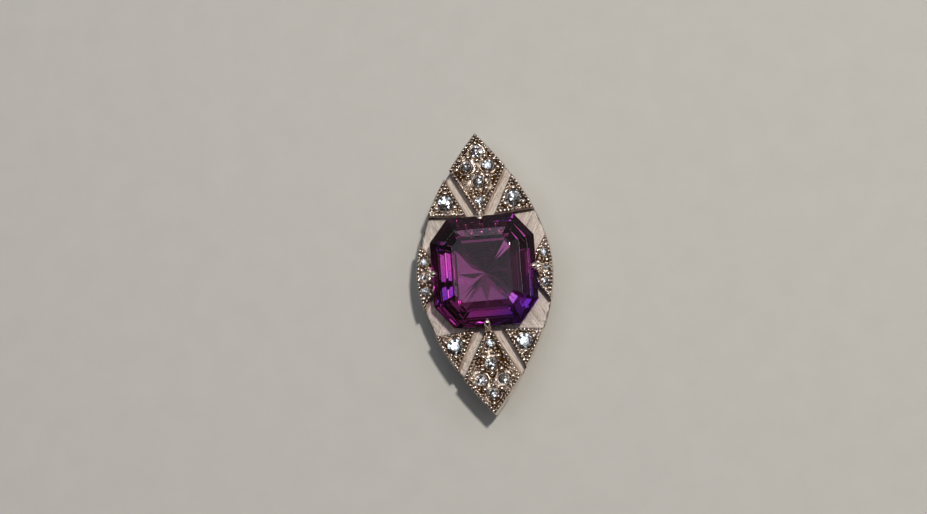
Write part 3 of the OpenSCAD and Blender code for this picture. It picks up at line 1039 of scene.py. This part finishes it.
# ---------------------------------------------------------------- hardware behind
def refined(node, name, material, body, width):
    """A piece with the CAD node's exact shape, its sharp edges broken by a small round."""
    flat_angle, sharp_angle = math.radians(1), math.radians(40)
    work = bmesh.new()
    work.from_mesh(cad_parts[node].data)
    bmesh.ops.remove_doubles(work, verts=work.verts, dist=1e-7)
    bmesh.ops.dissolve_limit(work, angle_limit=flat_angle, verts=work.verts, edges=work.edges)
    sharp = [e for e in work.edges if e.is_manifold and e.calc_face_angle(0) > sharp_angle]
    bmesh.ops.bevel(work, geom=sharp, offset=width * MM, segments=2, affect="EDGES", clamp_overlap=True)
    mesh = bpy.data.meshes.new(name)
    work.to_mesh(mesh)
    work.free()
    dress(linked(name, mesh), material, [node], body, sharp=35)


def add_hardware():
    refined("hinge_bracket", "hinge_ears", BACK_METAL, "brooch", width=0.05)
    refined("hinge_rivet", "hinge_pin", BACK_METAL, "brooch", width=0.03)
    refined("catch_housing", "catch_barrel", BACK_METAL, "brooch", width=0.06)
    refined("catch_rotor", "catch_sleeve", BACK_METAL, "safety_catch", width=0.04)
    refined("pin_stem", "pin", PIN_METAL, "pin", width=0.02)


# ---------------------------------------------------------------- stage, in metres
# The view: width of what the picture takes in, degrees up and round, the picture's lean, and how far the
# brooch lies right of and below the picture's middle.
LENS = 70.0
SENSOR = 36.0
PICTURE_W = 0.0974
ELEVATION = 79.0
AZIMUTH = 30.0
LEAN = 4.1
BROOCH_RIGHT, BROOCH_DOWN = 0.00220, 0.00153

# Lamps: name, degrees round from the picture's right, degrees up, width, height, watts and colour. The key
# is the sun, the ceiling and panels fill broad facets of the stones, and small lamps make single flashes.
WARM, COOL, PALE = (1.0, 0.95, 0.88), (0.80, 0.89, 1.0), (0.93, 0.96, 1.0)
LAMP_AWAY, LAMP_AIM = 0.6, 0.003
LAMPS = [
    ("key", 37.7, 70, 0.045, 0.045, 2.1, WARM),
    ("window_high", 15.3, 41.5, 0.074, 0.074, 0.045, PALE),
    ("window_low", 15.3, 21, 0.074, 0.074, 0.03, PALE),
    ("ceiling", 37, 49, 0.50, 0.17, 0.065, PALE),
    ("overhead", 90, 88.5, 0.125, 0.125, 0.08, COOL),
    ("panel_left", 166, 60, 0.18, 0.18, 0.19, COOL),
    ("panel_low", 207, 54, 0.11, 0.11, 0.02, PALE),
    ("panel_high", 120, 79.5, 0.06, 0.06, 0.006, COOL),
    ("panel_top", 99, 39, 0.15, 0.15, 0.012, COOL),
    ("sky_low", 99.8, 30.5, 0.078, 0.078, 0.013, COOL),
    ("flash_left", 200, 73, 0.10, 0.10, 0.08, COOL),
    ("flash_top", 90, 64, 0.10, 0.10, 0.08, COOL),
    ("glint_left", 141, 24, 0.036, 0.036, 0.006, COOL),
    ("glint_below", 242.7, 14.5, 0.084, 0.084, 0.026, PALE),
    ("spark_top_left", 116.6, 58, 0.036, 0.036, 0.037, COOL),
    ("spark_right", -5.7, 60, 0.036, 0.036, 0.037, COOL),
    ("spark_top", 95.7, 71, 0.036, 0.036, 0.037, COOL),
    ("spark_corner", 55, 44, 0.036, 0.036, 0.037, COOL),
]

# The room: how squarely a direction faces the brightest wall, and the colour there. The wall is found by its
# shares of the picture's right and up, and a little height.
WALL_RIGHT, WALL_UP, WALL_RISE = 0.25, 0.95, 0.15
ROOM = [(0.0, (0.021, 0.014, 0.009)), (0.22, (0.088, 0.079, 0.075)), (0.85, (0.21, 0.197, 0.19))]
FLOOR_HALF = 1.5


def add_camera():
    """The photograph's view: nearly overhead, from the lower right, the upper tip leaning left."""
    data = bpy.data.cameras.new("camera")
    data.lens, data.sensor_width = LENS, SENSOR
    data.clip_start, data.clip_end = 0.005, 10
    camera = linked("camera", data)
    a, e = math.radians(AZIMUTH), math.radians(ELEVATION)
    back = Vector((math.sin(a) * math.cos(e), -math.cos(a) * math.cos(e), math.sin(e)))
    along = Vector((0, 1, 0))
    along = (along - along.dot(back) * back).normalized()
    up = Matrix.Rotation(math.radians(-LEAN), 3, back) @ along
    right = up.cross(back)
    centre = Vector((0, 0, PANEL_TOP * MM))
    away = PICTURE_W * LENS / SENSOR
    place = centre + back * away - right * BROOCH_RIGHT + up * BROOCH_DOWN
    turn = Matrix((right, up, back)).transposed()
    camera.matrix_world = Matrix.Translation(place) @ turn.to_4x4()
    bpy.context.scene.camera = camera
    return right, up


def add_floor():
    mesh = bpy.data.meshes.new("floor")
    corners = [(FLOOR_HALF * x, FLOOR_HALF * y, 0) for x, y in ((-1, -1), (1, -1), (1, 1), (-1, 1))]
    mesh.from_pydata(corners, [], [(0, 1, 2, 3)])
    mesh.materials.append(floor_material())
    floor = linked("floor", mesh)


def add_lamp(name, direction, width, height, watts, colour):
    data = bpy.data.lights.new(name, "AREA")
    data.shape = "ELLIPSE"
    data.size, data.size_y = width, height
    data.energy, data.color = watts, colour
    lamp = linked(name, data)
    lamp.location = direction * LAMP_AWAY + Vector((0, 0, LAMP_AIM))
    lamp.rotation_mode = "QUATERNION"
    lamp.rotation_quaternion = direction.to_track_quat("Z", "Y")


def add_lamps(right, up):
    flat_right = Vector((right.x, right.y, 0)).normalized()
    flat_up = Vector((up.x, up.y, 0)).normalized()
    for name, around, above, *rest in LAMPS:
        a, e = math.radians(around), math.radians(above)
        level = flat_right * math.cos(a) + flat_up * math.sin(a)
        add_lamp(name, level * math.cos(e) + Vector((0, 0, math.sin(e))), *rest)


def add_world(right, up):
    """A dim room, brighter towards the window wall beyond the picture's upper right."""
    world = bpy.data.worlds.new("studio")
    world.use_nodes = True
    nodes, links = world.node_tree.nodes, world.node_tree.links
    background = next(n for n in nodes if n.type == "BACKGROUND")
    where = nodes.new("ShaderNodeTexCoord")
    facing = nodes.new("ShaderNodeVectorMath")
    facing.operation = "DOT_PRODUCT"
    wall = right * WALL_RIGHT + up * WALL_UP
    facing.inputs[1].default_value = Vector((wall.x, wall.y, WALL_RISE)).normalized()
    links.new(where.outputs["Generated"], facing.inputs[0])
    ramp = nodes.new("ShaderNodeValToRGB")
    elements = ramp.color_ramp.elements
    elements.new(0.5)
    for element, (at, colour) in zip(elements, ROOM):
        element.position = at
        element.color = (*colour, 1)
    links.new(facing.outputs["Value"], ramp.inputs[0])
    links.new(ramp.outputs[0], background.inputs["Color"])
    bpy.context.scene.world = world


# ---------------------------------------------------------------- the whole
add_plate()
add_frame()
add_collet()
add_panels()
add_small_stones()
add_amethyst()
add_claws()
add_hardware()
add_floor()
RIGHT, UP = add_camera()
add_lamps(RIGHT, UP)
add_world(RIGHT, UP)
bpy.context.scene.view_settings.view_transform = "Standard"
bpy.context.scene.view_settings.look = "Medium High Contrast"
